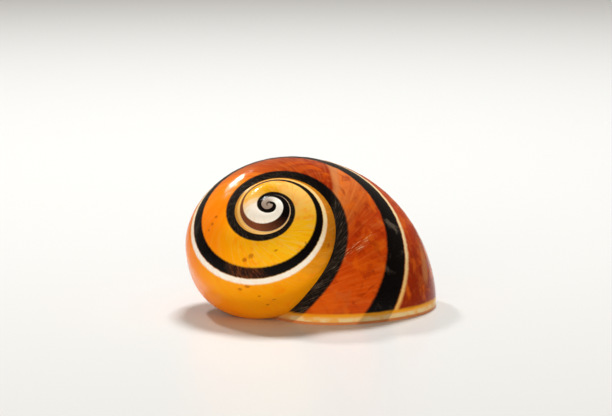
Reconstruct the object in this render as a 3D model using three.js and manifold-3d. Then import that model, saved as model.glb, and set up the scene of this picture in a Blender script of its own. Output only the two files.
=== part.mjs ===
// A land snail's shell, empty, lying on its mouth with the spire to the front.
//
// The shell is one wall, wound to the right about a leaning axis and growing as it goes.
// Its section is an arch that springs from the seam, where it is sealed to the turn before,
// and comes down to the pillar on the axis. The hollow runs from the mouth up into the spire.
//
// Lengths are millimetres and +Z is up. The shell lies on z = 0, and the origin is there,
// under the middle of its box. Turns are counted along the winding: the seam reaches the
// mouth about turn 0, and earlier turns are negative. A section is drawn in two numbers,
// out, which is away from the axis, and down, which is along the axis from the tip.

import * as THREE from 'three';
import { mergeVertices } from 'three/addons/utils/BufferGeometryUtils.js';
import Module from 'manifold-3d';

// The winding
const FIRST_TURN = -3.45; // the winding starts here, at the tip
const HALF_TURNS = 7; // and is this long, so that it ends just past the mouth
const FOOT_AT_MOUTH = 23.2; // from the tip down the axis to the foot of the arch, at turn 0
const GROWTH = 0.96; // natural logarithm of the growth in one turn, at turn 0
const GROWTH_CHANGE = 0.055; // and how much slower it grows towards the tip
const FOOT_OUT = 0.025; // how far the foot stands out from the axis, as a share of its depth

// The arch: five places along the line from the seam to the foot, each with its height above
// that line, as shares of the line's length. Over the last turn the second set is added.
const ARCH = [[0, 0.25], [0.19, 0.55], [0.4, 0.65], [0.7, 0.67], [0.91, 0.29]];
const ARCH_CHANGE = [[0.04, -0.03], [0.02, -0.06], [0.02, 0.03], [0, 0], [0, 0]];
const ARCH_END = 6; // places on the arch are counted from 0, the seam, to here, the foot

// Where the seam lies on the arch of the turn before
const SEAM_PLACE = 2.17; // at the turn from which it sinks faster
const SEAM_DRIFT = 0.56; // and how much further out it lies for each turn
const SEAM_SINKS_FROM = -0.25;
const SEAM_SINK = 25; // the seam's sinking, in places per square turn
const SEAM_LOWEST = 4; // it stops where the turn before touches the ground
const TIP_RAMP = 0.4; // the seam moves out from the tip over this part of a turn

// The wall, the hollow and the pillar
const WALL_AT_MOUTH = 0.5;
const WALL_GROWTH = 0.3; // natural logarithm of the wall's growth in one turn
const HOLLOW_HALF_TURNS = 5; // as far as the shell is hollow, counted back from the mouth
const PILLAR_SLOPE = 0.05; // the pillar's radius for each millimetre from the tip
const PILLAR_TIP = 0.05; // and its radius at the tip
const PILLAR_TOP = 0.1; // its ends, from the tip down the axis
const PILLAR_END = 20;

// How the shell lies, with angles in degrees
const AXIS_RISE = 44.5; // the tip's end of the axis, above the level
const AXIS_SWING = -10; // and turned from -Y towards -X
const START_ANGLE = 185.5; // of the section at turn 0, about the axis from straight up
const TIP = new THREE.Vector3(-3.82, -7.1, 10.94);
const GROUND = 80; // side of the block of ground that the mouth's plane is cut with

// Fineness of the facets
const TURN_STEPS = 32;
const HALF = TURN_STEPS / 2;
const ARCH_STEPS = 20;
const HOLLOW_STEPS = 14;
const PILLAR_SIDES = 12;
const MERGE_WITHIN = 1e-5;

// Sections stop short of the axis, inside the pillar
const AXIS_GAP = 0.02;
const HOLLOW_GAP = 0.01; // as a share of the foot's depth

const radians = THREE.MathUtils.degToRad;
const axis = new THREE.Vector3(
  Math.cos(radians(AXIS_RISE)) * Math.sin(radians(AXIS_SWING)),
  -Math.cos(radians(AXIS_RISE)) * Math.cos(radians(AXIS_SWING)),
  Math.sin(radians(AXIS_RISE)),
);
const upright = new THREE.Vector3(0, 0, 1).addScaledVector(axis, -axis.z).normalize();
const sideways = new THREE.Vector3().crossVectors(axis, upright);

// A point of a section, set in place at its turn
function place([out, down], turn) {
  const angle = radians(START_ANGLE) - 2 * Math.PI * turn;
  return TIP.clone()
    .addScaledVector(upright, out * Math.cos(angle))
    .addScaledVector(sideways, out * Math.sin(angle))
    .addScaledVector(axis, -down);
}

// A smooth line through evenly spaced values: a cubic spline that is straight at its ends
function smoothLine(values) {
  const last = values.length - 1;
  const share = [0];
  const bend = [0];
  for (let i = 1; i < last; i++) {
    const pivot = 4 - share[i - 1];
    share[i] = 1 / pivot;
    bend[i] = (6 * (values[i + 1] - 2 * values[i] + values[i - 1]) - bend[i - 1]) / pivot;
  }
  bend[last] = 0;
  for (let i = last - 1; i > 0; i--) bend[i] -= share[i] * bend[i + 1];
  return (at) => {
    const i = Math.min(last - 1, Math.floor(at));
    const right = at - i;
    const left = 1 - right;
    return left * values[i] + right * values[i + 1]
      + ((left ** 3 - left) * bend[i] + (right ** 3 - right) * bend[i + 1]) / 6;
  };
}

const footDown = (turn) => FOOT_AT_MOUTH * Math.exp(GROWTH * turn + GROWTH_CHANGE * turn ** 2);
const wall = (turn) => WALL_AT_MOUTH * Math.exp(WALL_GROWTH * turn);

// The place of a turn's seam on the arch of the turn before
function seamPlace(turn) {
  const start = THREE.MathUtils.smoothstep(turn - 1 - FIRST_TURN, 0, TIP_RAMP);
  const past = turn - SEAM_SINKS_FROM;
  const sunk = SEAM_SINK * Math.max(0, past) ** 2;
  return Math.min(start * (SEAM_PLACE + SEAM_DRIFT * past) + sunk, SEAM_LOWEST);
}

// The arch at a turn, as a function from a place on it to [out, down]. The first turn's arch
// springs from the tip itself, and each later one from the turn before.
function arch(turn) {
  const foot = [FOOT_OUT * footDown(turn), footDown(turn)];
  const seam = turn < FIRST_TURN + 1 ? [0, 0] : arch(turn - 1)(seamPlace(turn));
  const line = [foot[0] - seam[0], foot[1] - seam[1]];
  const late = Math.max(0, 1 + turn);
  const between = ARCH.map(([along, height], i) => {
    const a = along + late * ARCH_CHANGE[i][0];
    const h = height + late * ARCH_CHANGE[i][1];
    return [seam[0] + a * line[0] + h * line[1], seam[1] + a * line[1] - h * line[0]];
  });
  const points = [seam, ...between, foot];
  const out = smoothLine(points.map((point) => point[0]));
  const down = smoothLine(points.map((point) => point[1]));
  return (at) => [out(at), down(at)];
}

// All that a section encloses, from the arch in to the axis
function filledSection(turn) {
  const line = arch(turn);
  const section = [];
  for (let i = 0; i <= ARCH_STEPS; i++) {
    const [out, down] = line((ARCH_END * i) / ARCH_STEPS);
    section.push([Math.max(out, 2 * AXIS_GAP), down]);
  }
  const seamDown = line(0)[1];
  const foot = footDown(turn);
  section.push([AXIS_GAP, foot], [AXIS_GAP, THREE.MathUtils.lerp(seamDown, foot, 0.03)]);
  return section;
}

// The hollow's section is the arch moved in by the wall. Its top side runs inside the turn
// before, and its inner side inside the pillar, and both are cut from it afterwards.
function hollowSection(turn) {
  const line = arch(turn);
  const inner = (at) => {
    const before = line(Math.max(0, at - 0.01));
    const after = line(Math.min(ARCH_END, at + 0.01));
    const run = new THREE.Vector2(after[0] - before[0], after[1] - before[1]).setLength(wall(turn));
    const [out, down] = line(at);
    return [out - run.y, down + run.x];
  };
  const core = HOLLOW_GAP * footDown(turn);
  let end = ARCH_END;
  while (inner(end)[0] < core) end -= 0.02;
  const section = [];
  for (let i = 0; i <= HOLLOW_STEPS; i++) section.push(inner((end * i) / HOLLOW_STEPS));
  section.push([core, (line(0)[1] + footDown(turn - 1)) / 2]);
  return section;
}

const wasm = await Module();
wasm.setup();

function toSolid(geometry) {
  geometry.deleteAttribute('normal');
  geometry.deleteAttribute('uv');
  const merged = mergeVertices(geometry, MERGE_WITHIN);
  return new wasm.Manifold(new wasm.Mesh({
    numProp: 3,
    vertProperties: merged.getAttribute('position').array,
    triVerts: Uint32Array.from(merged.index.array),
  }));
}

function toGeometry(solid) {
  const { vertProperties, triVerts } = solid.getMesh();
  const geometry = new THREE.BufferGeometry();
  geometry.setAttribute('position', new THREE.BufferAttribute(vertProperties, 3));
  geometry.setIndex(new THREE.BufferAttribute(triVerts, 1));
  geometry.computeVertexNormals();
  return geometry;
}

// A closed solid through the sections from one step of the winding to another, counted from
// the tip, with a flat cap at each end
function sweep(sectionAt, from, to) {
  const positions = [];
  const index = [];
  const caps = [];
  let count = 0;
  for (let step = from; step <= to; step++) {
    const turn = FIRST_TURN + step / TURN_STEPS;
    const section = sectionAt(turn);
    count = section.length;
    for (const point of section) positions.push(...place(point, turn).toArray());
    if (step === from || step === to) {
      const outline = section.map(([out, down]) => new THREE.Vector2(out, down));
      caps.push(THREE.ShapeUtils.triangulateShape(outline, []));
    }
  }
  for (let ring = 0; ring < to - from; ring++) {
    for (let i = 0; i < count; i++) {
      const a = ring * count + i;
      const b = ring * count + ((i + 1) % count);
      index.push(a, a + count, b, b, a + count, b + count);
    }
  }
  const lastRing = (to - from) * count;
  for (const [a, b, c] of caps[0]) index.push(a, b, c);
  for (const [a, b, c] of caps[1]) index.push(lastRing + a, lastRing + c, lastRing + b);
  const geometry = new THREE.BufferGeometry();
  geometry.setAttribute('position', new THREE.Float32BufferAttribute(positions, 3));
  geometry.setIndex(index);
  return toSolid(geometry);
}

// The pillar that the turns wind round, a slim cone about the axis
function pillar() {
  const radius = (down) => PILLAR_TIP + PILLAR_SLOPE * down;
  const length = PILLAR_END - PILLAR_TOP;
  const geometry = new THREE.CylinderGeometry(
    radius(PILLAR_TOP), radius(PILLAR_END), length, PILLAR_SIDES, 1,
  );
  geometry.translate(0, -PILLAR_TOP - length / 2, 0);
  const lean = new THREE.Quaternion().setFromUnitVectors(new THREE.Vector3(0, 1, 0), axis);
  geometry.applyQuaternion(lean);
  geometry.translate(TIP.x, TIP.y, TIP.z);
  return toSolid(geometry);
}

function ground() {
  const geometry = new THREE.BoxGeometry(GROUND, GROUND, GROUND);
  geometry.translate(0, 0, -GROUND / 2);
  return toSolid(geometry);
}

// The winding with nothing cut from it, as it stands after each half turn. Each half turn
// starts a step back, so that no cap is left against another.
function filledWinding() {
  const filled = [pillar()];
  for (let half = 0; half < HALF_TURNS; half++) {
    const next = sweep(filledSection, half * HALF - 1, (half + 1) * HALF);
    filled.push(filled[half].add(next));
  }
  return filled;
}

// The hollow of each half turn lies outside all the turns before it. It laps over the next
// half turn by a step, and the turns before it are taken a step further than that.
function shellSolid() {
  const filled = filledWinding();
  let shell = filled[HALF_TURNS];
  for (let half = HALF_TURNS - HOLLOW_HALF_TURNS; half < HALF_TURNS; half++) {
    const end = (half + 1) * HALF;
    const hollow = sweep(hollowSection, half * HALF, end + 1);
    const lap = sweep(filledSection, end - TURN_STEPS, end - TURN_STEPS + 2);
    shell = shell.subtract(hollow.subtract(filled[half - 1].add(lap)));
  }
  return shell.subtract(ground());
}

const glossy = new THREE.MeshStandardMaterial({ color: '#d4701a', roughness: 0.3, metalness: 0 });
const shell = new THREE.Mesh(toGeometry(shellSolid()), glossy);
shell.name = 'shell';

const part = new THREE.Group();
part.add(shell);

export default part;
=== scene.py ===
import bmesh
import bpy
import numpy as np
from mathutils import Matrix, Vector


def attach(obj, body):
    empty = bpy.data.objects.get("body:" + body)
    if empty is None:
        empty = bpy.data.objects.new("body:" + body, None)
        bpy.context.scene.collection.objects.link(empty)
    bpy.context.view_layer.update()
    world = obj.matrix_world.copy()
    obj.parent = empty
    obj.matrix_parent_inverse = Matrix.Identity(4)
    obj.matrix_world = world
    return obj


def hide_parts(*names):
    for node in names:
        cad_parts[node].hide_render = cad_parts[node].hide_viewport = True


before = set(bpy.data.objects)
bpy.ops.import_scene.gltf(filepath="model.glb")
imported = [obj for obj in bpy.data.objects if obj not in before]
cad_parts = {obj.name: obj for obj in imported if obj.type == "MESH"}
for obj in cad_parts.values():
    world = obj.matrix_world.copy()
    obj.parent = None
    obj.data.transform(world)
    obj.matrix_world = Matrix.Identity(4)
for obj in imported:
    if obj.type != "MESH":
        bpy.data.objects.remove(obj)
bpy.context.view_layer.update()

# The winding
FIRST_TURN = -3.45
LAST_TURN = 0.05
FOOT_AT_MOUTH = 23.2
GROWTH = 0.96
GROWTH_CHANGE = 0.055
FOOT_OUT = 0.025

# The arch of a section
ARCH = np.array([[0, 0.25], [0.19, 0.55], [0.4, 0.65], [0.7, 0.67], [0.91, 0.29]])
ARCH_CHANGE = np.array([[0.04, -0.03], [0.02, -0.06], [0.02, 0.03], [0, 0], [0, 0]])
ARCH_END = 6

# The seam's place on the arch of the turn before
SEAM_PLACE = 2.17
SEAM_DRIFT = 0.56
SEAM_SINKS_FROM = -0.25
SEAM_SINK = 25
SEAM_LOWEST = 4
TIP_RAMP = 0.4

# The wall, the hollow and the pillar
WALL_AT_MOUTH = 0.5
WALL_GROWTH = 0.3
HOLLOW_FROM = -2.45
PILLAR_SLOPE = 0.05
PILLAR_TIP = 0.05

# How the shell lies
AXIS_RISE = np.radians(44.5)
AXIS_SWING = np.radians(-10)
START_ANGLE = np.radians(185.5)
TIP = np.array([-3.82, -7.1, 10.94])

# Fineness of the mesh
TURN_STEPS = 200
SKIN_COLUMNS = 64
BASE_COLUMNS = 26
INNER_COLUMNS = 36
PILLAR_COLUMNS = 6
INNER_SEAM = 0.2

# Places where a section's base, and the hollow's, can meet the pillar
BASE_SEARCH = np.linspace(5, ARCH_END, 101)
HOLLOW_SEARCH = np.linspace(4.5, ARCH_END, 151)

MILLIMETRE = 0.001

# How near the lip's plane a point counts as on it, and how sharp a bend in the mesh shows as an edge
CUT_TOLERANCE = 0.0001 * MILLIMETRE
SHARP_FROM = np.radians(38)

# Growth lines lean back from the seam: turns of lag at a place on the section
LAG_START = -0.02
LAG = 0.13
LAG_POWER = 0.6

# The lip's pale margin starts after this turn of growth
MARGIN_FROM = -0.12

# Relief of the outside: heights in millimetres at the mouth, lengths in turns, and the places
# over which it rises from the seam and fades towards the base
SCAR = -0.274
SCAR_DEPTH = 0.035
SCAR_WIDTH = 0.012
RELIEF_STARTS = 0.15
RELIEF_FADES = 1.5
# Waves: height, length and phase
WAVES = [(0.010, 0.021, 0.3), (0.008, 0.034, 1.9), (0.006, 0.0131, 4.4)]

# The bands: (turn, place) along each edge, in the order of growth
EDGES = {
    "seam_band_start": [(-3.0, 0.55), (-2.8, 0.42), (-2.6, 0.3), (-2.45, 0.18), (-2.3, -0.1)],
    "seam_band_end": [(-3.0, 0.5), (-2.8, 0.54), (-2.6, 0.45), (-2.3, 0.38), (-2.1, 0.32), (-1.9, 0.22),
                      (-1.65, 0.25), (-1.4, 0.2), (-1.1, 0.27), (-0.95, 0.34), (-0.6, 0.35), (0, 0.34)],
    "band_start": [(-3.2, 0.7), (-2.9, 1.08), (-2.7, 1.2), (-2.4, 1.08), (-2.1, 1.04), (-1.9, 1.18),
                   (-1.65, 1.28), (-1.4, 1.2), (-1.2, 1.22), (-0.9, 1.3), (-0.5, 1.32), (-0.1, 1.31)],
    "band_end": [(-3.2, 1.1), (-2.9, 1.5), (-2.4, 1.5), (-2.0, 1.62), (-1.7, 1.44), (-1.4, 1.43),
                 (-1.2, 1.5), (-1.0, 1.57), (-0.8, 1.65), (-0.5, 1.7), (-0.1, 1.76)],
    "line_end": [(-3.2, 1.15), (-2.9, 1.6), (-2.0, 1.75), (-1.6, 1.6), (-1.2, 1.67), (-1.0, 1.74),
                 (-0.8, 1.82), (-0.5, 1.82), (-0.1, 1.83)],
}

AXIS = np.array([
    np.cos(AXIS_RISE) * np.sin(AXIS_SWING),
    -np.cos(AXIS_RISE) * np.cos(AXIS_SWING),
    np.sin(AXIS_RISE),
])
UPRIGHT = np.array([0, 0, 1]) - AXIS[2] * AXIS
UPRIGHT = UPRIGHT / np.linalg.norm(UPRIGHT)
SIDEWAYS = np.cross(AXIS, UPRIGHT)


def smooth(x):
    x = np.clip(x, 0, 1)
    return x * x * (3 - 2 * x)


def place(out, down, turn):
    """Points in millimetres, from how far out and down they are, and their turn."""
    angle = START_ANGLE - 2 * np.pi * turn
    ray = np.cos(angle)[..., None] * UPRIGHT + np.sin(angle)[..., None] * SIDEWAYS
    return TIP + out[..., None] * ray - down[..., None] * AXIS


def spline_weights(at):
    """How much each of the arch's points counts at places on it, in a natural cubic spline."""
    count = ARCH_END + 1
    inner = count - 2
    second = np.zeros((count, count))
    jumps = 6 * (np.eye(inner, count) - 2 * np.eye(inner, count, 1) + np.eye(inner, count, 2))
    sums = 4 * np.eye(inner) + np.eye(inner, k=1) + np.eye(inner, k=-1)
    second[1:-1] = np.linalg.solve(sums, jumps)
    at = np.asarray(at, float)
    i = np.clip(np.floor(at).astype(int), 0, count - 2)
    right = (at - i)[..., None]
    left = 1 - right
    one = np.eye(count)
    bends = (left ** 3 - left) * second[i] + (right ** 3 - right) * second[i + 1]
    return left * one[i] + right * one[i + 1] + bends / 6


def foot_down(turn):
    """How far down the axis a section's foot is."""
    return FOOT_AT_MOUTH * np.exp(GROWTH * turn + GROWTH_CHANGE * turn ** 2)


def wall(turn):
    return WALL_AT_MOUTH * np.exp(WALL_GROWTH * turn)


def pillar_radius(down):
    return PILLAR_TIP + PILLAR_SLOPE * down


def seam_place(turn):
    """The place on the arch of the turn before where a turn starts."""
    start = smooth((turn - 1 - FIRST_TURN) / TIP_RAMP)
    past = turn - SEAM_SINKS_FROM
    sunk = SEAM_SINK * np.maximum(0, past) ** 2
    return np.minimum(start * (SEAM_PLACE + SEAM_DRIFT * past) + sunk, SEAM_LOWEST)


def growth_turn(turn, at):
    """The turn at which the mouth's edge passed a point of the shell."""
    return turn + LAG_START + LAG * np.maximum(at, 0) ** LAG_POWER


def arch_points(turns):
    """Each section's points (out, down), from its seam on the turn before to its foot."""
    points = np.zeros((len(turns), ARCH_END + 1, 2))
    for i, turn in enumerate(turns):
        foot = np.array([FOOT_OUT, 1]) * foot_down(turn)
        seam = np.zeros(2)
        if i >= TURN_STEPS:
            seam = spline_weights(seam_place(turn)) @ points[i - TURN_STEPS]
        line = foot - seam
        shares = ARCH + max(0, 1 + turn) * ARCH_CHANGE
        points[i, 0] = seam
        points[i, 1:-1] = seam + shares[:, :1] * line + shares[:, 1:] * np.array([line[1], -line[0]])
        points[i, -1] = foot
    return points


def along(points, at):
    """Points (out, down) at places, one row of places for each turn's arch."""
    return np.einsum("tuc,tcd->tud", spline_weights(at), points)


def inward(points, at):
    """The way square to the arch and into the shell, at places."""
    nudge = 0.01
    before = along(points, np.maximum(at - nudge, 0))
    after = along(points, np.minimum(at + nudge, ARCH_END))
    run = after - before
    run = run / np.linalg.norm(run, axis=-1, keepdims=True)
    return np.stack([-run[..., 1], run[..., 0]], -1)


def relief(turn, at):
    """How far growth marks sink the skin: low waves along the growth lines, and the scar."""
    grown = growth_turn(turn, at)
    size = np.exp(GROWTH * turn)
    deep = sum(height * np.sin(2 * np.pi * grown / length + phase) for height, length, phase in WAVES)
    past = (grown - SCAR) / SCAR_WIDTH
    deep = deep + SCAR_DEPTH * np.exp(-past ** 2)
    fade = smooth((SEAM_PLACE + RELIEF_FADES - at) / RELIEF_FADES)
    return size * deep * smooth(at / RELIEF_STARTS) * fade


def reach_pillar(line, at):
    """The place on each row of a line, given as points, where it meets the pillar."""
    clear = line[..., 0] - pillar_radius(line[..., 1])
    found = []
    for row, places in zip(clear, at):
        k = np.nonzero(row > 0)[0][-1]
        share = row[k] / (row[k] - row[k + 1])
        found.append(places[k] + share * (places[k + 1] - places[k]))
    return np.array(found)


class Surface:
    """Points and faces of the shell, with each face corner's turn, place and side."""

    def __init__(self):
        self.points = []
        self.faces = []
        self.turns = []
        self.places = []
        self.sides = []
        self.count = 0

    def add_points(self, grid):
        ids = self.count + np.arange(grid[..., 0].size).reshape(grid.shape[:-1])
        self.points.append(grid.reshape(-1, 3))
        self.count += ids.size
        return ids

    def add_faces(self, ids, turns, places, side):
        corners = [(slice(None, -1), slice(None, -1)), (slice(None, -1), slice(1, None)),
                   (slice(1, None), slice(1, None)), (slice(1, None), slice(None, -1))]
        turns = np.broadcast_to(turns, ids.shape)
        places = np.broadcast_to(places, ids.shape)
        quads = np.stack([ids[c] for c in corners], -1).reshape(-1, 4)
        quad_turns = np.stack([turns[c] for c in corners], -1).reshape(-1, 4)
        quad_places = np.stack([places[c] for c in corners], -1).reshape(-1, 4)
        for quad, t, u in zip(quads, quad_turns, quad_places):
            keep = [k for k in range(4) if quad[k] != quad[k - 1]]
            if len(keep) < 3:
                continue
            self.faces.append([int(quad[k]) for k in keep])
            self.turns.extend(t[keep])
            self.places.extend(u[keep])
            self.sides.append(side)

    def add_face(self, loop, turn):
        """One face on the inside, all at one turn."""
        self.faces.append([int(k) for k in loop])
        self.turns.extend([turn] * len(loop))
        self.places.extend([0.0] * len(loop))
        self.sides.append(INSIDE)


# The mesh's material slots
OUTSIDE = 0
INSIDE = 1

# Rows of the mesh, one to a step of the winding: all, the hollow's, those that later turns cover
# from the hollow's first on, and those left bare
ROWS = round((LAST_TURN - FIRST_TURN) * TURN_STEPS) + 1
TURNS = FIRST_TURN + np.arange(ROWS) / TURN_STEPS
HOLLOW_ROW = round((HOLLOW_FROM - FIRST_TURN) * TURN_STEPS)
COVERED = slice(HOLLOW_ROW - TURN_STEPS, ROWS - TURN_STEPS)
BARE = slice(ROWS - 1 - TURN_STEPS, None)

# Columns of the arch: the skin, the base, and the gap between them
SKIN = slice(None, SKIN_COLUMNS + 1)
BASE = slice(SKIN_COLUMNS + 1, None)
GAP = slice(SKIN_COLUMNS, SKIN_COLUMNS + 2)


def add_arch(surface, points):
    """The arch: skin from the seam to the next turn's seam, then the base down to the pillar."""
    next_seam = seam_place(TURNS + 1)
    dense = BASE_SEARCH[None].repeat(ROWS, 0)
    base_end = reach_pillar(along(points, dense), dense)
    skin_at = next_seam[:, None] * np.linspace(0, 1, SKIN_COLUMNS + 1)
    base_start = next_seam + INNER_SEAM
    base_at = base_start[:, None] + (base_end - base_start)[:, None] * np.linspace(0, 1, BASE_COLUMNS + 1)
    at = np.concatenate([skin_at, base_at], 1)
    turns = np.broadcast_to(TURNS[:, None], at.shape)
    line = along(points, at)
    line = line + relief(turns, at)[..., None] * inward(points, at)
    ids = surface.add_points(place(line[..., 0], line[..., 1], turns))
    # The first turn springs from the tip, and each later one from the turn before
    ids[:TURN_STEPS + 1, 0] = ids[0, 0]
    ids[TURN_STEPS:, 0] = ids[:ROWS - TURN_STEPS, SKIN_COLUMNS]
    surface.add_faces(ids[:, SKIN], turns[:, SKIN], at[:, SKIN], OUTSIDE)
    surface.add_faces(ids[BARE, GAP], turns[BARE, GAP], at[BARE, GAP], OUTSIDE)
    surface.add_faces(ids[BARE, BASE], turns[BARE, BASE], at[BARE, BASE], OUTSIDE)
    surface.add_faces(ids[COVERED, BASE], turns[COVERED, BASE], at[COVERED, BASE], INSIDE)
    return ids, line[:, -1, 1]


def add_hollow(surface, points, seam_ids):
    """The hollow: the arch moved in by the wall, from the turn before to the pillar."""
    points = points[HOLLOW_ROW:]
    thickness = wall(TURNS[HOLLOW_ROW:])[:, None, None]
    dense = HOLLOW_SEARCH[None].repeat(len(points), 0)
    end = reach_pillar(along(points, dense) + thickness * inward(points, dense), dense)
    at = end[:, None] * np.linspace(0, 1, INNER_COLUMNS + 1)
    line = along(points, at) + thickness * inward(points, at)
    turns = np.broadcast_to(TURNS[HOLLOW_ROW:, None], at.shape)
    ids = surface.add_points(place(line[..., 0], line[..., 1], turns))
    ids[:, 0] = seam_ids
    surface.add_faces(ids, turns, at, INSIDE)
    return ids, line[:, -1, 1]


def add_pillar(surface, top_ids, top_down, floor_ids, floor_down):
    """The pillar, from the base of the turn before to the floor of the hollow."""
    bottom_down = np.full(len(top_down), floor_down[-1])
    bottom_down[:len(floor_down)] = floor_down
    share = np.linspace(0, 1, PILLAR_COLUMNS + 1)
    down = top_down[:, None] + (bottom_down - top_down)[:, None] * share
    turns = np.broadcast_to(TURNS[HOLLOW_ROW - TURN_STEPS:, None] + 1, down.shape)
    ids = surface.add_points(place(pillar_radius(down), down, turns))
    ids[:, 0] = top_ids
    ids[:len(floor_ids), -1] = floor_ids
    surface.add_faces(ids, turns, ARCH_END + share, INSIDE)
    return ids


def shell_surface():
    points = arch_points(TURNS)
    surface = Surface()
    arch_ids, arch_down = add_arch(surface, points)
    base_ids = arch_ids[HOLLOW_ROW - TURN_STEPS:, BASE]
    seam_ids = arch_ids[COVERED, SKIN_COLUMNS + 1]
    hollow_ids, hollow_down = add_hollow(surface, points, seam_ids)
    top_down = arch_down[HOLLOW_ROW - TURN_STEPS:]
    pillar_ids = add_pillar(surface, base_ids[:, -1], top_down, hollow_ids[:, -1], hollow_down)
    # The hollow's blind end, round its first row, up the pillar and back along the base
    loop = [*hollow_ids[0], *pillar_ids[0][::-1][1:], *base_ids[0][::-1][1:-1]]
    surface.add_face(loop, TURNS[HOLLOW_ROW])
    return surface


def keep_past_edges(mesh):
    """Stores, at each face corner, how far its place is past each band's edge."""
    winding = np.zeros(2 * len(mesh.loops), np.float32)
    mesh.uv_layers["winding"].data.foreach_get("uv", winding)
    turn, at = winding.reshape(-1, 2).T
    for name, points in EDGES.items():
        edge = np.interp(turn, *zip(*points))
        kept = mesh.attributes.new(name, "FLOAT", "CORNER")
        kept.data.foreach_set("value", (at - edge).astype(np.float32))


def dress_filled(bm, filled):
    """Gives faces in the lip's plane the winding of their neighbours. Away from the lip they're skin."""
    layer = bm.loops.layers.uv["winding"]
    new = set(filled)
    for face in filled:
        latest = FIRST_TURN
        for loop in face.loops:
            known = [other for other in loop.vert.link_loops if other.face not in new]
            loop[layer].uv = known[0][layer].uv
            latest = max(latest, growth_turn(*loop[layer].uv))
        face.material_index = INSIDE if latest > MARGIN_FROM else OUTSIDE


def cut_at_lip(mesh):
    """Cuts the mesh along the lip's plane, keeps what lies above it, and closes the cut."""
    bm = bmesh.new()
    bm.from_mesh(mesh)
    loose = [v for v in bm.verts if not v.link_faces]
    bmesh.ops.delete(bm, geom=loose, context="VERTS")
    everything = bm.verts[:] + bm.edges[:] + bm.faces[:]
    bmesh.ops.bisect_plane(bm, geom=everything, dist=CUT_TOLERANCE, plane_co=(0, 0, 0),
                           plane_no=(0, 0, -1), clear_outer=True)
    rim = [e for e in bm.edges if e.is_boundary]
    filled = bmesh.ops.triangle_fill(bm, edges=rim, use_beauty=True, normal=(0, 0, -1))
    filled = [face for face in filled["geom"] if isinstance(face, bmesh.types.BMFace)]
    dress_filled(bm, filled)
    bmesh.ops.recalc_face_normals(bm, faces=bm.faces)
    bm.to_mesh(mesh)
    bm.free()


def build_shell():
    surface = shell_surface()
    mesh = bpy.data.meshes.new("shell_skin")
    points = np.concatenate(surface.points) * MILLIMETRE
    mesh.from_pydata(points.tolist(), [], surface.faces)
    uv = mesh.uv_layers.new(name="winding")
    pairs = np.stack([surface.turns, surface.places], -1).astype(np.float32)
    uv.data.foreach_set("uv", pairs.ravel())
    mesh.polygons.foreach_set("material_index", surface.sides)
    mesh.update()
    cut_at_lip(mesh)
    keep_past_edges(mesh)
    obj = bpy.data.objects.new("shell_skin", mesh)
    bpy.context.collection.objects.link(obj)
    mesh.set_sharp_from_angle(angle=SHARP_FROM)
    return obj


# Colours, as red, green and blue out of 255 on a screen
PALETTE = {
    "soot": (13, 6, 5),
    "dust": (134, 120, 106),
    "chestnut": (134, 80, 54),
    "brown": (130, 72, 34),
    "stain": (168, 78, 8),
    "dull rust": (166, 66, 22),
    "dull copper": (196, 92, 34),
    # The scar's pale strip, whose colour also paints the highlight low on the right side
    "strip": (206, 134, 82),
    "peach": (220, 126, 62),
    "flame": (232, 116, 14),
    "deep red": (158, 50, 8),
    "rust": (196, 66, 6),
    "red orange": (214, 88, 8),
    "copper": (206, 106, 46),
    "pink beige": (224, 150, 96),
    "orange": (255, 140, 2),
    "amber": (255, 172, 6),
    "yellow": (254, 196, 24),
    "bright yellow": (228, 168, 0),
    "ochre": (200, 128, 20),
    "lip yellow": (250, 176, 40),
    "straw": (246, 196, 108),
    "cream": (252, 228, 178),
    "white": (255, 252, 244),
    "grey": (176, 158, 146),
}

# Growth over which colours and strengths are given
STOPS_FROM = -3.4
STOPS_TO = 0.1


def linear(name):
    """A palette colour in the linear numbers that shaders use, by the sRGB formula."""
    share = np.array(PALETTE[name]) / 255
    low = share / 12.92
    high = ((share + 0.055) / 1.055) ** 2.4
    return (*np.where(share > 0.04045, high, low), 1)


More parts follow.
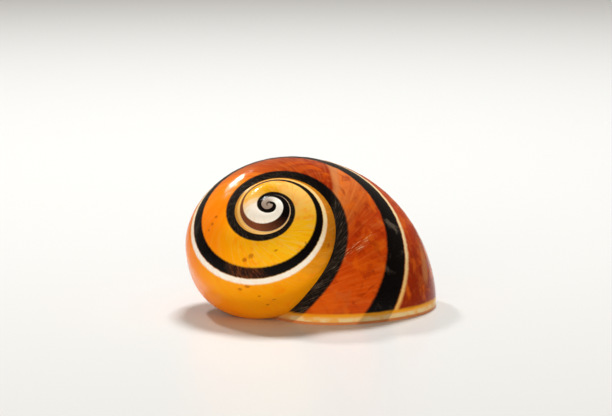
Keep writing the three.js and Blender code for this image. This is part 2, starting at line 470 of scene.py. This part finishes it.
class Shading:
    """A material's nodes, put together as plain sums."""

    def __init__(self, name):
        self.material = bpy.data.materials.new(name)
        self.material.use_nodes = True
        self.tree = self.material.node_tree
        self.shader = self.tree.nodes["Principled BSDF"]

    def feed(self, socket, value):
        if isinstance(value, bpy.types.NodeSocket):
            self.tree.links.new(value, socket)
        elif isinstance(value, str):
            socket.default_value = linear(value)
        else:
            socket.default_value = value

    def dress(self, **values):
        """Sets the shader's own sockets, with names like specular_ior_level for Specular IOR Level."""
        sockets = {socket.name.lower().replace(" ", "_"): socket for socket in self.shader.inputs}
        for name, value in values.items():
            self.feed(sockets[name], value)

    def node(self, kind, values, **settings):
        node = self.tree.nodes.new(kind)
        for name, value in settings.items():
            setattr(node, name, value)
        for socket, value in values.items():
            self.feed(node.inputs[socket], value)
        return node

    def math(self, how, first, second):
        return self.node("ShaderNodeMath", {0: first, 1: second}, operation=how).outputs[0]

    def add(self, first, second):
        return self.math("ADD", first, second)

    def times(self, *values):
        product = values[0]
        for value in values[1:]:
            product = self.math("MULTIPLY", product, value)
        return product

    def less(self, value, share=1.0):
        """One, less a share of the value."""
        return self.math("SUBTRACT", 1.0, self.times(value, share))

    def step(self, value, start, end):
        """0 before start and 1 past end, eased between them. The two may be in either order."""
        values = {0: value, 1: start, 2: end}
        return self.node("ShaderNodeMapRange", values, interpolation_type="SMOOTHSTEP").outputs[0]

    def between(self, value, start, end, soft):
        rise = self.step(value, start - soft, start + soft)
        fall = self.step(value, end + soft, end - soft)
        return self.times(rise, fall)

    def mix(self, share, first, second):
        values = {0: share, 6: first, 7: second}
        return self.node("ShaderNodeMix", values, data_type="RGBA").outputs[2]

    def attribute(self, name):
        return self.node("ShaderNodeAttribute", {}, attribute_name=name).outputs["Fac"]

    def noise(self, where, scale, detail, roughness, distortion):
        values = {"Vector": where, "Scale": scale, "Detail": detail, "Roughness": roughness,
                  "Distortion": distortion}
        return self.node("ShaderNodeTexNoise", values).outputs["Fac"]

    def by_growth(self, turn, stops):
        """A run of palette colours or of numbers, given as (turn of growth, what)."""
        share = self.node("ShaderNodeMapRange", {0: turn, 1: STOPS_FROM, 2: STOPS_TO}).outputs[0]
        node = self.node("ShaderNodeValToRGB", {0: share})
        places = node.color_ramp.elements
        while len(places) < len(stops):
            places.new(0.5)
        for element, (turn_there, _) in zip(places, stops):
            element.position = (turn_there - STOPS_FROM) / (STOPS_TO - STOPS_FROM)
        for element, (_, what) in zip(places, stops):
            element.color = linear(what) if isinstance(what, str) else (what, what, what, 1)
        return node.outputs[0]

    def bump(self, height, distance, strength):
        values = {"Height": height, "Distance": distance, "Strength": strength}
        return self.node("ShaderNodeBump", values).outputs[0]


class ShellShading(Shading):
    """A shell material, laid out by turn, place and growth, and by the point in metres.

    Its noises come by name. Some are drawn out along the growth lines, given as how fine they are
    by turn and by place, and others are in patches, given as how fine they are by the metre. Then
    come detail, roughness and distortion for both kinds.
    """

    def __init__(self, name, drawn_out, in_patches):
        super().__init__(name)
        winding = self.node("ShaderNodeUVMap", {}, uv_map="winding").outputs[0]
        self.turn, self.at, _ = self.node("ShaderNodeSeparateXYZ", {0: winding}).outputs
        bent = self.math("POWER", self.math("MAXIMUM", self.at, 0.0), LAG_POWER)
        self.grown = self.add(self.add(self.turn, self.times(bent, LAG)), LAG_START)
        where = self.node("ShaderNodeTexCoord", {}).outputs["Object"]
        self.height = self.node("ShaderNodeSeparateXYZ", {0: where}).outputs[2]
        self.noises = {}
        for key, (by_turn, by_place, *rest) in drawn_out.items():
            values = {0: self.times(self.grown, by_turn), 1: self.times(self.at, by_place)}
            along_growth = self.node("ShaderNodeCombineXYZ", values).outputs[0]
            self.noises[key] = self.noise(along_growth, 1, *rest)
        for key, (by_metre, *rest) in in_patches.items():
            self.noises[key] = self.noise(where, by_metre, *rest)

    def marks(self, noise, start, full):
        """Where a noise is past start, growing until it's past full."""
        return self.step(self.noises[noise], start, full)

    def shift(self, noise, size):
        """A noise turned into a shift to either side of zero."""
        return self.times(self.add(self.noises[noise], -0.5), size)

    def spot(self, centre, size, noise):
        """A small blurred mark at a turn and place, with an uneven edge: the brown stains, and also the
        painted highlight.
        """
        across = self.math("DIVIDE", self.add(self.turn, -centre[0]), size[0])
        down = self.math("DIVIDE", self.add(self.at, -centre[1]), size[1])
        far = self.add(self.times(across, across), self.times(down, down))
        return self.step(self.add(far, self.shift(noise, SPOT_UNEVEN)), SPOT_EDGE, 0.0)


# The outside's noises
DRAWN_OUT = {
    "sweeps": (34, 0.8, 3, 0.55, 0.3),
    "lines": (150, 1.4, 4, 0.6, 0.4),
    "fibres": (420, 4.5, 3, 0.65, 1.1),
}
IN_PATCHES = {
    "patches": (420, 4, 0.55, 0.5),
    "mottling": (650, 4, 0.6, 1.2),
    "lip patches": (700, 2, 0.5, 0.0),
    "specks": (1900, 3, 0.6, 0.0),
    "grain": (2600, 3, 0.6, 0.0),
}

# The skin's colours by growth: between the bands, below them, and on the pale line
MIDDLE_SKIN = [
    (-3.3, "grey"), (-2.5, "grey"), (-2.2, "white"), (-1.68, "white"), (-1.58, "straw"),
    (-1.49, "bright yellow"), (-1.42, "bright yellow"), (-1.36, "straw"), (-1.2, "straw"),
    (-1.08, "yellow"), (-0.92, "yellow"), (-0.76, "amber"), (-0.66, "orange"), (-0.54, "orange"),
    (-0.47, "dull copper"), (-0.4, "dull rust"), (-0.33, "deep red"), (-0.285, "deep red"),
    (-0.255, "peach"), (-0.2, "dull copper"), (-0.14, "rust"), (-0.06, "red orange"),
    (0.0, "red orange"),
]
LOWER_SKIN = [
    (-3.3, "grey"), (-2.3, "white"), (-1.9, "straw"), (-1.4, "ochre"), (-1.0, "ochre"),
    (-0.9, "amber"), (-0.72, "amber"), (-0.58, "orange"), (-0.42, "red orange"),
    (-0.25, "red orange"), (-0.12, "rust"), (-0.04, "deep red"), (0.0, "deep red"),
]
PALE_LINE = [
    (-2.4, "grey"), (-1.8, "straw"), (-1.25, "straw"), (-1.1, "cream"), (-0.95, "white"),
    (-0.62, "white"), (-0.5, "cream"), (-0.2, "cream"), (-0.08, "cream"), (0.0, "straw"),
]
SKIN_UNEVEN = 0.1

# How soft each edge of a band is, in places, and how ragged they all are
EDGE_SOFT = {
    "seam_band_start": 0.05,
    "seam_band_end": 0.04,
    "band_start": 0.035,
    "band_end": 0.03,
    "line_end": 0.04,
}
RAGGED = 0.045

# Streaks along the growth lines: strength by growth, and the noise's values where they start and
# are full. The light ones are weaker on the lower skin, and the dark ones turn red with growth
LIGHT_STREAKS = [(-2.0, 0.0), (-1.5, 0.7), (-0.95, 0.55), (-0.7, 0.15), (-0.35, 0.08), (0.0, 0.08)]
LIGHT_LINES = (0.5, 0.62)
LOWER_LOSS = 0.75
DARK_STREAKS = [(-2.0, 0.0), (-1.5, 0.45), (-1.2, 0.6), (-0.9, 0.35), (-0.6, 0.2), (-0.2, 0.45),
                (0.0, 0.3)]
DARK_LINES = (0.48, 0.28)
STREAKS_REDDEN = (-0.7, -0.45)

# Soft patches: noise, its values where they start and are full, strength and colour
LATE_PATCHES = [
    ("mottling", 0.52, 0.7, 0.55, "copper"),
    ("mottling", 0.48, 0.32, 0.6, "deep red"),
    ("patches", 0.5, 0.66, 0.6, "flame"),
]
LATE = (-0.5, -0.25)
EARLY_PATCHES = [("mottling", 0.52, 0.7, 0.55, "orange")]
EARLY = (-1.6, -0.75)
EARLY_SOFT = 0.1

# The pale line covers the skin at least this much, and wholly on some growth lines
LINE_LEAST = 0.9
LINE_WHOLE = (0.6, 0.4)

# The pale strip of the scar
STRIP_TURNS = (-0.282, -0.262)
STRIP_SOFT = 0.006
STRIP_UNEVEN = 0.02
STRIP_STRENGTH = 0.75

# A few pale scratches along one growth line of the last turn
SCRATCH_TURNS = (-0.14, -0.116)
SCRATCH_TURNS_SOFT = 0.004
SCRATCH_PLACES = (0.25, 0.95)
SCRATCH_PLACES_SOFT = 0.1
SCRATCH_FIBRES = (0.56, 0.64)
SCRATCH_STRENGTH = 0.75

# Places over which the base pales towards the pillar
BASE_PALES = (3.6, 5.4)
BASE_PALENESS = 0.7

# Spots: turn and place, and half-widths in the two. First a painted highlight, a pale streak of reflected
# light low on the right side, then small brown stains
PAINTED_HIGHLIGHT_SPOT = ((-0.248, 2.42), (0.028, 0.16))
PAINTED_HIGHLIGHT_STRENGTH = 0.8
STAINS = [
    ((-0.745, 0.75), (0.0048, 0.064)),
    ((-0.763, 0.92), (0.0056, 0.064)),
    ((-0.775, 1.1), (0.0032, 0.04)),
    ((-0.94, 0.95), (0.0096, 0.096)),
    ((-0.925, 1.1), (0.0064, 0.064)),
    ((-1.02, 0.85), (0.008, 0.048)),
    ((-0.971, 2.2), (0.0032, 0.048)),
    ((-0.945, 1.82), (0.0064, 0.048)),
    ((-0.93, 1.95), (0.0048, 0.048)),
    ((-0.985, 2.85), (0.004, 0.064)),
    ((-1.0, 2.55), (0.0048, 0.056)),
    ((-1.17, 1.95), (0.008, 0.064)),
    ((-1.12, 1.2), (0.0048, 0.048)),
]
STAIN_STRENGTH = 0.6
SPOT_UNEVEN = 2.5
SPOT_EDGE = 1.5

# The seam's dark band: dust and pale cross-fibres, by growth
DUST = [(-2.4, 0.0), (-1.2, 0.5), (-0.9, 0.7), (-0.45, 0.55), (-0.34, 0.0), (-0.3, 0.05),
        (-0.27, 1.0), (0.0, 0.8)]
DUST_STRENGTH = 0.05
PALE_FIBRES = (0.55, 0.64)
FIBRE_STRENGTH = 0.8

# The middle dark band: brown early on, blotched late, and worn through to brown in one stretch
BROWN_PART = [(-2.0, 0.0), (-1.78, 1.0), (-1.5, 0.9), (-1.3, 0.0)]
BLOTCHES = [(-1.0, 0.0), (-0.4, 0.2), (-0.25, 0.55), (-0.12, 0.5), (0.0, 0.1)]
BLOTCH_PATCHES = (0.56, 0.7)
WORN_TURNS = (-0.84, -0.75)
WORN_SOFT = 0.02
WORN_FIBRES = (0.4, 0.65)
WORN_STRENGTH = 0.8

# The lip: heights in metres over which its margin, its paler edge and its rim start
MARGIN_HEIGHTS = (0.0011, 0.0008)
LIP_EDGE_HEIGHTS = (0.0008, 0.0005)
RIM_HEIGHTS = (0.0003, 0.0002)
HEIGHT_UNEVEN = 0.0004
MARGIN_SOFT = 0.03
DARK_AT_LIP = 0.35
LIP_PATCHES = (0.4, 0.6)
LIP_EDGE_LEAST = 0.35

# Roughness: at least, and added by worn grain and by the dark bands
SMOOTHEST = 0.13
GRAIN_WORN = (0.45, 0.7)
GRAIN_ROUGHNESS = 0.1
DARK_ROUGHNESS = 0.08

# Fine growth lines stand up: how much each noise counts, their height in metres and strength
RIDGES = {"lines": 0.6, "fibres": 0.3, "grain": 0.15}
RIDGE_HEIGHT = 0.00003
RIDGE_STRENGTH = 0.6


class Outside(ShellShading):
    """The banded outside. Each step of its colours takes the skin so far and gives the next."""

    def __init__(self):
        super().__init__("shell_outside", DRAWN_OUT, IN_PATCHES)
        self.seam_band = self.times(self.past("seam_band_start"), self.less(self.past("seam_band_end")))
        self.band = self.times(self.past("band_start"), self.less(self.past("band_end")))
        self.line = self.times(self.past("band_end"), self.less(self.past("line_end")))
        self.lower = self.past("line_end")
        self.dark = self.math("MAXIMUM", self.seam_band, self.band)

    def past(self, edge):
        """How far a point is past an edge of a band, from 0 to 1."""
        soft = EDGE_SOFT[edge]
        return self.step(self.add(self.attribute(edge), self.shift("lines", RAGGED)), -soft, soft)

    def plain(self):
        uneven = self.add(self.grown, self.shift("sweeps", SKIN_UNEVEN))
        middle = self.by_growth(uneven, MIDDLE_SKIN)
        return self.mix(self.lower, middle, self.by_growth(uneven, LOWER_SKIN))

    def streaked(self, skin):
        light = self.times(self.marks("lines", *LIGHT_LINES), self.by_growth(self.grown, LIGHT_STREAKS))
        skin = self.mix(self.times(light, self.less(self.lower, LOWER_LOSS)), skin, "straw")
        dark = self.times(self.marks("lines", *DARK_LINES), self.by_growth(self.grown, DARK_STREAKS))
        return self.mix(dark, skin, self.mix(self.step(self.grown, *STREAKS_REDDEN), "orange", "deep red"))

    def patched(self, skin):
        late = self.step(self.grown, *LATE)
        early = self.between(self.grown, *EARLY, EARLY_SOFT)
        for when, patches in ((late, LATE_PATCHES), (early, EARLY_PATCHES)):
            for noise, start, full, strength, colour in patches:
                share = self.times(self.marks(noise, start, full), when, strength)
                skin = self.mix(share, skin, colour)
        return skin

    def lined(self, skin):
        more = self.times(self.marks("lines", *LINE_WHOLE), 1 - LINE_LEAST)
        share = self.times(self.line, self.add(LINE_LEAST, more))
        return self.mix(share, skin, self.by_growth(self.grown, PALE_LINE))

    def scarred(self, skin):
        uneven = self.add(self.grown, self.shift("patches", STRIP_UNEVEN))
        strip = self.between(uneven, *STRIP_TURNS, STRIP_SOFT)
        skin = self.mix(self.times(strip, STRIP_STRENGTH), skin, "strip")
        scratches = self.times(
            self.between(self.grown, *SCRATCH_TURNS, SCRATCH_TURNS_SOFT),
            self.between(self.at, *SCRATCH_PLACES, SCRATCH_PLACES_SOFT),
            self.marks("fibres", *SCRATCH_FIBRES),
        )
        return self.mix(self.times(scratches, SCRATCH_STRENGTH), skin, "cream")

    def spotted(self, skin):
        """The painted highlight, the pale base, and the brown stains over both."""
        # A pale streak painted low on the right side: a painted highlight, not a mark of the shell
        painted_highlight = self.spot(*PAINTED_HIGHLIGHT_SPOT, "patches")
        skin = self.mix(self.times(painted_highlight, PAINTED_HIGHLIGHT_STRENGTH), skin, "strip")
        skin = self.mix(self.times(self.step(self.at, *BASE_PALES), BASE_PALENESS), skin, "cream")
        stains = 0.0
        for centre, size in STAINS:
            stains = self.add(stains, self.spot(centre, size, "specks"))
        share = self.math("MINIMUM", self.times(stains, STAIN_STRENGTH), STAIN_STRENGTH)
        return self.mix(share, skin, "stain")

    def seam_banded(self, skin):
        dusty = self.by_growth(self.grown, DUST)
        fibres = self.times(dusty, self.marks("fibres", *PALE_FIBRES), FIBRE_STRENGTH)
        ground = self.mix(self.times(dusty, DUST_STRENGTH), "soot", "dust")
        return self.mix(self.seam_band, skin, self.mix(fibres, ground, "dust"))

    def middle_banded(self, skin):
        solid = self.mix(self.by_growth(self.grown, BROWN_PART), "soot", "chestnut")
        strength = self.by_growth(self.grown, BLOTCHES)
        solid = self.mix(self.times(self.marks("patches", *BLOTCH_PATCHES), strength), solid, "dust")
        stretch = self.between(self.grown, *WORN_TURNS, WORN_SOFT)
        worn = self.times(stretch, self.marks("fibres", *WORN_FIBRES), WORN_STRENGTH)
        return self.mix(self.band, skin, self.mix(worn, solid, "brown"))

    def lipped(self, skin):
        """The lip's pale margin, which the dark bands run into."""
        height = self.add(self.height, self.shift("lines", HEIGHT_UNEVEN))
        margin = self.times(
            self.step(height, *MARGIN_HEIGHTS),
            self.less(self.dark, DARK_AT_LIP),
            self.step(self.grown, MARGIN_FROM - MARGIN_SOFT, MARGIN_FROM),
        )
        patchy = self.times(self.marks("lip patches", *LIP_PATCHES), 1 - LIP_EDGE_LEAST)
        edge = self.times(self.step(height, *LIP_EDGE_HEIGHTS), self.add(LIP_EDGE_LEAST, patchy))
        lip = self.mix(edge, "lip yellow", "cream")
        lip = self.mix(self.step(self.height, *RIM_HEIGHTS), lip, "pink beige")
        return self.mix(margin, skin, lip)

    def roughness(self):
        worn = self.times(self.marks("grain", *GRAIN_WORN), GRAIN_ROUGHNESS)
        return self.add(self.add(SMOOTHEST, worn), self.times(self.dark, DARK_ROUGHNESS))

    def ridges(self):
        height = 0.0
        for noise, share in RIDGES.items():
            height = self.add(height, self.times(self.noises[noise], share))
        return self.bump(height, RIDGE_HEIGHT, RIDGE_STRENGTH)


def outside():
    s = Outside()
    skin = s.plain()
    for change in (s.streaked, s.patched, s.lined, s.scarred, s.spotted, s.seam_banded,
                   s.middle_banded, s.lipped):
        skin = change(skin)
    s.dress(base_color=skin, roughness=s.roughness(), specular_ior_level=0.16, normal=s.ridges())
    return s.material


# The inside: its noises, its streaks, and how much the dark band shows through past the lip
INSIDE_LINES = {"lines": (90, 1.2, 3, 0.5, 0.3)}
INSIDE_PATCHES = {"patches": (300, 3, 0.5, 0.0)}
INSIDE_STREAKS = (0.5, 0.75)
INSIDE_STREAK_STRENGTH = 0.3
SHOWS_THROUGH = 0.4
SHOWS_SOFT = 0.06
PAST_LIP_HEIGHTS = (0.0002, 0.0006)
INSIDE_SMOOTHEST = 0.16
INSIDE_PATCH_ROUGHNESS = 0.1
INSIDE_RIDGE_HEIGHT = 0.00002
INSIDE_RIDGE_STRENGTH = 0.4


def inside():
    """Glossy cream, with the dark band showing through a little."""
    s = ShellShading("shell_inside", INSIDE_LINES, INSIDE_PATCHES)
    patches = s.noises["patches"]
    skin = s.mix(patches, "cream", "white")
    streaks = s.times(s.marks("lines", *INSIDE_STREAKS), INSIDE_STREAK_STRENGTH)
    skin = s.mix(streaks, skin, "straw")
    band_start = s.step(s.attribute("band_start"), -SHOWS_SOFT, SHOWS_SOFT)
    band_end = s.step(s.attribute("band_end"), SHOWS_SOFT, -SHOWS_SOFT)
    past_lip = s.step(s.height, *PAST_LIP_HEIGHTS)
    skin = s.mix(s.times(band_start, band_end, past_lip, SHOWS_THROUGH), skin, "grey")
    roughness = s.add(INSIDE_SMOOTHEST, s.times(patches, INSIDE_PATCH_ROUGHNESS))
    normal = s.bump(s.noises["lines"], INSIDE_RIDGE_HEIGHT, INSIDE_RIDGE_STRENGTH)
    s.dress(base_color=skin, roughness=roughness, specular_ior_level=0.5, normal=normal)
    return s.material


# The floor
FLOOR_HALF = 1.5
FLOOR_COLOUR = (0.71, 0.695, 0.68, 1)


def make_floor():
    s = Shading("floor")
    s.dress(base_color=FLOOR_COLOUR, roughness=0.34, specular_ior_level=0.4)
    mesh = bpy.data.meshes.new("floor")
    signs = [(-1, -1), (1, -1), (1, 1), (-1, 1)]
    mesh.from_pydata([(FLOOR_HALF * x, FLOOR_HALF * y, 0) for x, y in signs], [], [(0, 1, 2, 3)])
    mesh.materials.append(s.material)
    floor = bpy.data.objects.new("floor", mesh)
    bpy.context.collection.objects.link(floor)
    return floor


# The camera, at the photograph's viewing angle: metres, and the lens in millimetres
AIM = Vector((-0.00051, 0.00839, 0.008))
CAMERA_FAR = 0.26
CAMERA_RISE = np.radians(9.5)
SENSOR_WIDTH = 36
LENS = 157.5


def make_camera():
    data = bpy.data.cameras.new("camera")
    data.sensor_width = SENSOR_WIDTH
    data.lens = LENS
    camera = bpy.data.objects.new("camera", data)
    camera.location = AIM + CAMERA_FAR * Vector((0, -np.cos(CAMERA_RISE), np.sin(CAMERA_RISE)))
    camera.rotation_euler = (AIM - camera.location).to_track_quat("-Z", "Y").to_euler()
    bpy.context.collection.objects.link(camera)
    return camera


# The light. A lamp's place is given by its swing from the camera's side to the right and its
# rise, in degrees, and its distance. Then come its width and height, its power, its colour, and
# whether it shows in gloss
LAMPS_AIM = Vector((0, 0, 0.007))
LAMP_SPREAD = np.radians(110)
WHITE = (1, 1, 1)
WARM = (1, 0.9, 0.76)
COOL = (0.93, 0.98, 1)
LAMPS = {
    "key": (-147, 45, 0.5, 0.045, 0.045, 0.29, COOL, True),
    "back": (172, 57, 0.5, 0.12, 0.1, 0.85, COOL, False),
    "above": (20, 75, 0.7, 0.5, 0.5, 0.06, WHITE, True),
    "front": (-12, 9, 0.8, 0.8, 0.4, 1.3, WARM, False),
}
WORLD_COLOUR = (1, 0.9, 0.79, 1)
WORLD_STRENGTH = 0.24


def softbox(name, swing, rise, far, width, height, power, colour, mirrored):
    """A soft lamp aimed at the shell."""
    swing, rise = np.radians(swing), np.radians(rise)
    data = bpy.data.lights.new(name, "AREA")
    data.shape = "RECTANGLE"
    data.size = width
    data.size_y = height
    data.energy = power
    data.spread = LAMP_SPREAD
    data.color = colour
    lamp = bpy.data.objects.new(name, data)
    way = Vector((np.sin(swing) * np.cos(rise), -np.cos(swing) * np.cos(rise), np.sin(rise)))
    lamp.location = LAMPS_AIM + far * way
    lamp.visible_glossy = mirrored
    lamp.rotation_euler = (-way).to_track_quat("-Z", "Y").to_euler()
    bpy.context.collection.objects.link(lamp)


def make_world():
    world = bpy.data.worlds.new("world")
    world.use_nodes = True
    background = world.node_tree.nodes["Background"]
    background.inputs["Color"].default_value = WORLD_COLOUR
    background.inputs["Strength"].default_value = WORLD_STRENGTH
    return world


shell = build_shell()
shell.data.materials.append(outside())
shell.data.materials.append(inside())
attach(shell, "root")
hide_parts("shell")
make_floor()

scene = bpy.context.scene
scene.camera = make_camera()
for name, values in LAMPS.items():
    softbox(name, *values)
scene.world = make_world()
scene.view_settings.view_transform = "Standard"
scene.view_settings.look = "Medium High Contrast"
